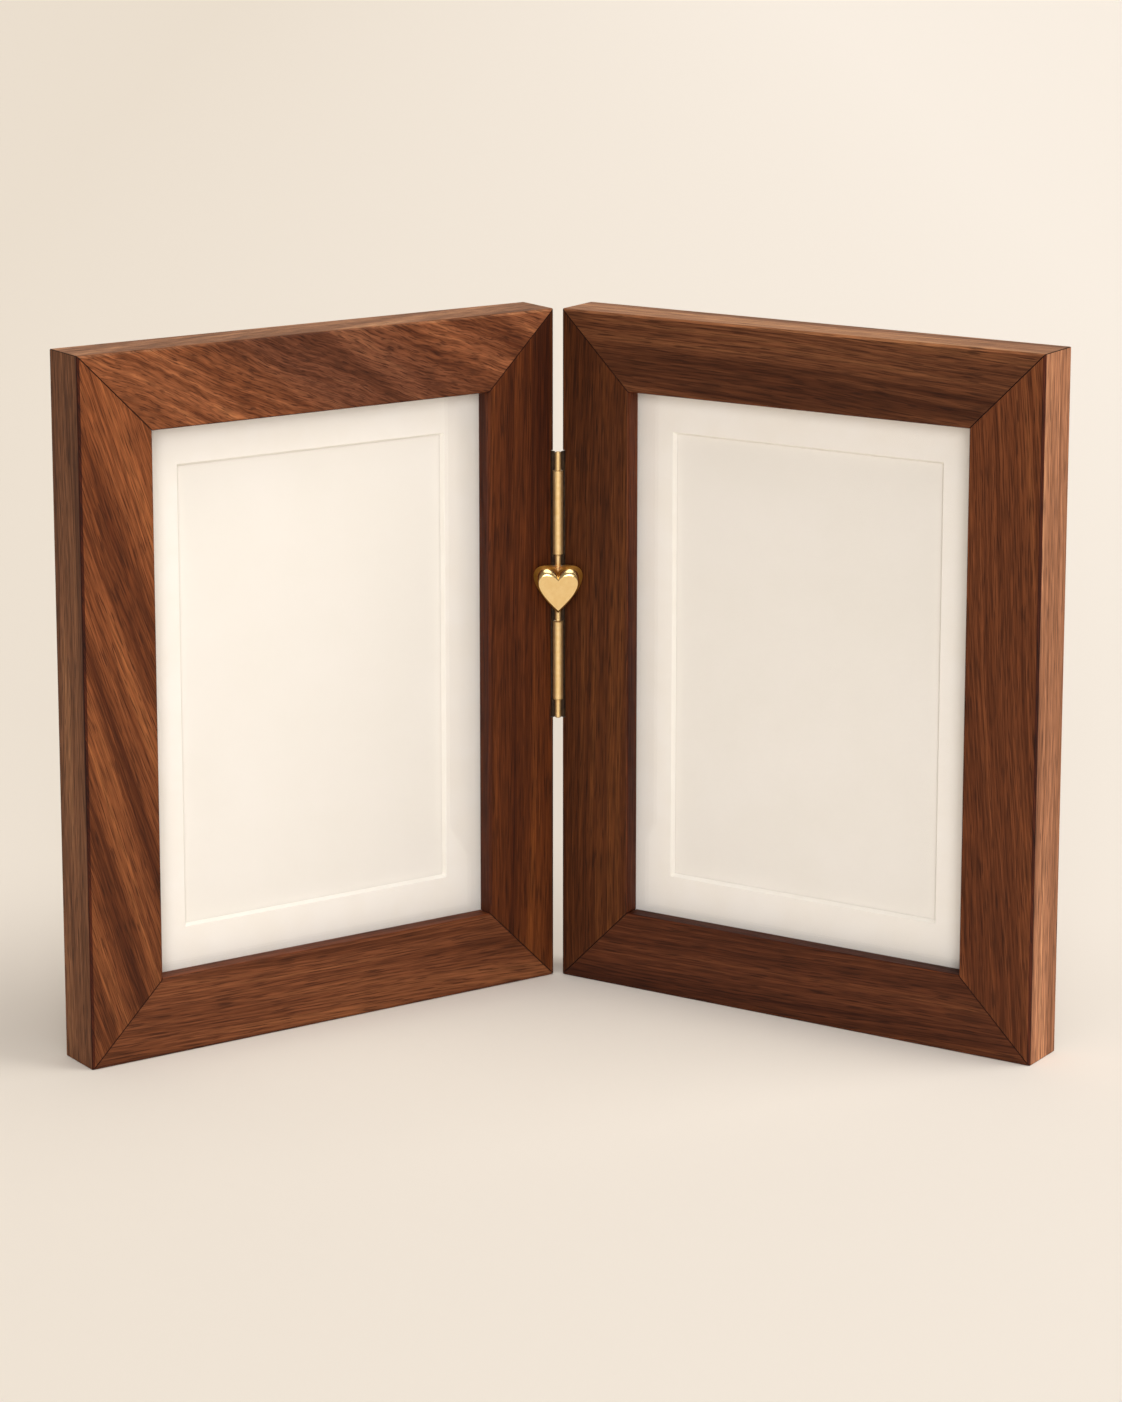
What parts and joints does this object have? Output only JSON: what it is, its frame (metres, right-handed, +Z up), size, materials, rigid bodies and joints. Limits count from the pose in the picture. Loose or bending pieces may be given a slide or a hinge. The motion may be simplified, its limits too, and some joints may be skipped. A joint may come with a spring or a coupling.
{
  "type": "swivel double photo frame",
  "caption": "Hinged pair of mitred walnut photo frames with cream mats, standing in a V on a slim brass hinge with a heart between its knuckles.",
  "frame": {"origin": "middle of the object's footprint, on the surface that it stands on", "axes": "+X to the viewer's right along both frames, +Y away from the viewer, +Z up along the hinge pins"},
  "size_m": [0.307, 0.1088, 0.222],
  "materials": {
    "walnut": "oiled walnut, satin, grain along each rail",
    "glass": "clear picture glass",
    "mat_board": "matt cream mat board with a white bevelled window",
    "cream_paper": "blank matt cream paper",
    "grey_card": "plain grey-brown filler card",
    "hardboard": "smooth dark brown hardboard",
    "plated_button": "stamped brass, lightly brushed",
    "steel": "bright zinc-plated steel",
    "brass": "polished brass"
  },
  "bodies": {
    "left_frame": {"left_top_rail": "walnut", "left_bottom_rail": "walnut", "left_outer_stile": "walnut", "left_hinge_stile": "walnut", "left_glazing": "glass", "left_mat": "mat_board", "left_print_insert": "cream_paper", "left_filler_card": "grey_card", "left_backing_board": "hardboard", "left_button_screw_top": "steel", "left_button_screw_bottom": "steel", "left_button_screw_outer": "steel", "left_button_screw_hinge": "steel", "left_v_nail_bottom_hinge": "steel", "left_v_nail_bottom_outer": "steel", "left_v_nail_top_outer": "steel", "left_v_nail_top_hinge": "steel", "left_hinge_leaf": "brass", "left_leaf_screw_lower": "brass", "left_leaf_screw_middle": "brass", "left_leaf_screw_upper": "brass"},
    "right_frame": {"right_top_rail": "walnut", "right_bottom_rail": "walnut", "right_outer_stile": "walnut", "right_hinge_stile": "walnut", "right_glazing": "glass", "right_mat": "mat_board", "right_print_insert": "cream_paper", "right_filler_card": "grey_card", "right_backing_board": "hardboard", "right_button_screw_top": "steel", "right_button_screw_bottom": "steel", "right_button_screw_outer": "steel", "right_button_screw_hinge": "steel", "right_v_nail_bottom_hinge": "steel", "right_v_nail_bottom_outer": "steel", "right_v_nail_top_outer": "steel", "right_v_nail_top_hinge": "steel", "right_hinge_leaf": "brass", "right_leaf_screw_lower": "brass", "right_leaf_screw_middle": "brass", "right_leaf_screw_upper": "brass"},
    "heart_and_pins": {"hinge_heart": "brass", "upper_hinge_pin": "brass", "lower_hinge_pin": "brass"},
    "left_button_top": {"left_turn_button_top": "plated_button"},
    "left_button_bottom": {"left_turn_button_bottom": "plated_button"},
    "left_button_outer": {"left_turn_button_outer": "plated_button"},
    "left_button_hinge": {"left_turn_button_hinge": "plated_button"},
    "right_button_top": {"right_turn_button_top": "plated_button"},
    "right_button_bottom": {"right_turn_button_bottom": "plated_button"},
    "right_button_outer": {"right_turn_button_outer": "plated_button"},
    "right_button_hinge": {"right_turn_button_hinge": "plated_button"}
  },
  "joints": [
    {"name": "frame_fold", "type": "hinge", "parent": "left_frame", "child": "right_frame", "pos_m": [0, 0.03827, 0.13095], "axis": [0, 0, 1], "range_deg": [-4, 67]},
    {"name": "heart_swivel", "type": "hinge", "parent": "left_frame", "child": "heart_and_pins", "pos_m": [0, 0.03827, 0.13095], "axis": [0, 0, 1], "range_deg": [-2, 33.5]},
    {"name": "left_button_top_turn", "type": "hinge", "parent": "left_frame", "child": "left_button_top", "pos_m": [-0.08253, 0.00751, 0.2086], "axis": [-0.5519, 0.8339, 0], "continuous": true},
    {"name": "left_button_bottom_turn", "type": "hinge", "parent": "left_frame", "child": "left_button_bottom", "pos_m": [-0.08253, 0.00751, 0.0134], "axis": [-0.5519, 0.8339, 0], "continuous": true},
    {"name": "left_button_outer_turn", "type": "hinge", "parent": "left_frame", "child": "left_button_outer", "pos_m": [-0.14265, -0.03229, 0.111], "axis": [-0.5519, 0.8339, 0], "continuous": true},
    {"name": "left_button_hinge_turn", "type": "hinge", "parent": "left_frame", "child": "left_button_hinge", "pos_m": [-0.02241, 0.0473, 0.111], "axis": [-0.5519, 0.8339, 0], "continuous": true},
    {"name": "right_button_top_turn", "type": "hinge", "parent": "right_frame", "child": "right_button_top", "pos_m": [0.08253, 0.00751, 0.2086], "axis": [0.5519, 0.8339, 0], "continuous": true},
    {"name": "right_button_bottom_turn", "type": "hinge", "parent": "right_frame", "child": "right_button_bottom", "pos_m": [0.08253, 0.00751, 0.0134], "axis": [0.5519, 0.8339, 0], "continuous": true},
    {"name": "right_button_outer_turn", "type": "hinge", "parent": "right_frame", "child": "right_button_outer", "pos_m": [0.14265, -0.03229, 0.111], "axis": [0.5519, 0.8339, 0], "continuous": true},
    {"name": "right_button_hinge_turn", "type": "hinge", "parent": "right_frame", "child": "right_button_hinge", "pos_m": [0.02241, 0.0473, 0.111], "axis": [0.5519, 0.8339, 0], "continuous": true}
  ],
  "couplings": [
    {"joint": "heart_swivel", "follows": "frame_fold", "ratio": 0.5}
  ]
}
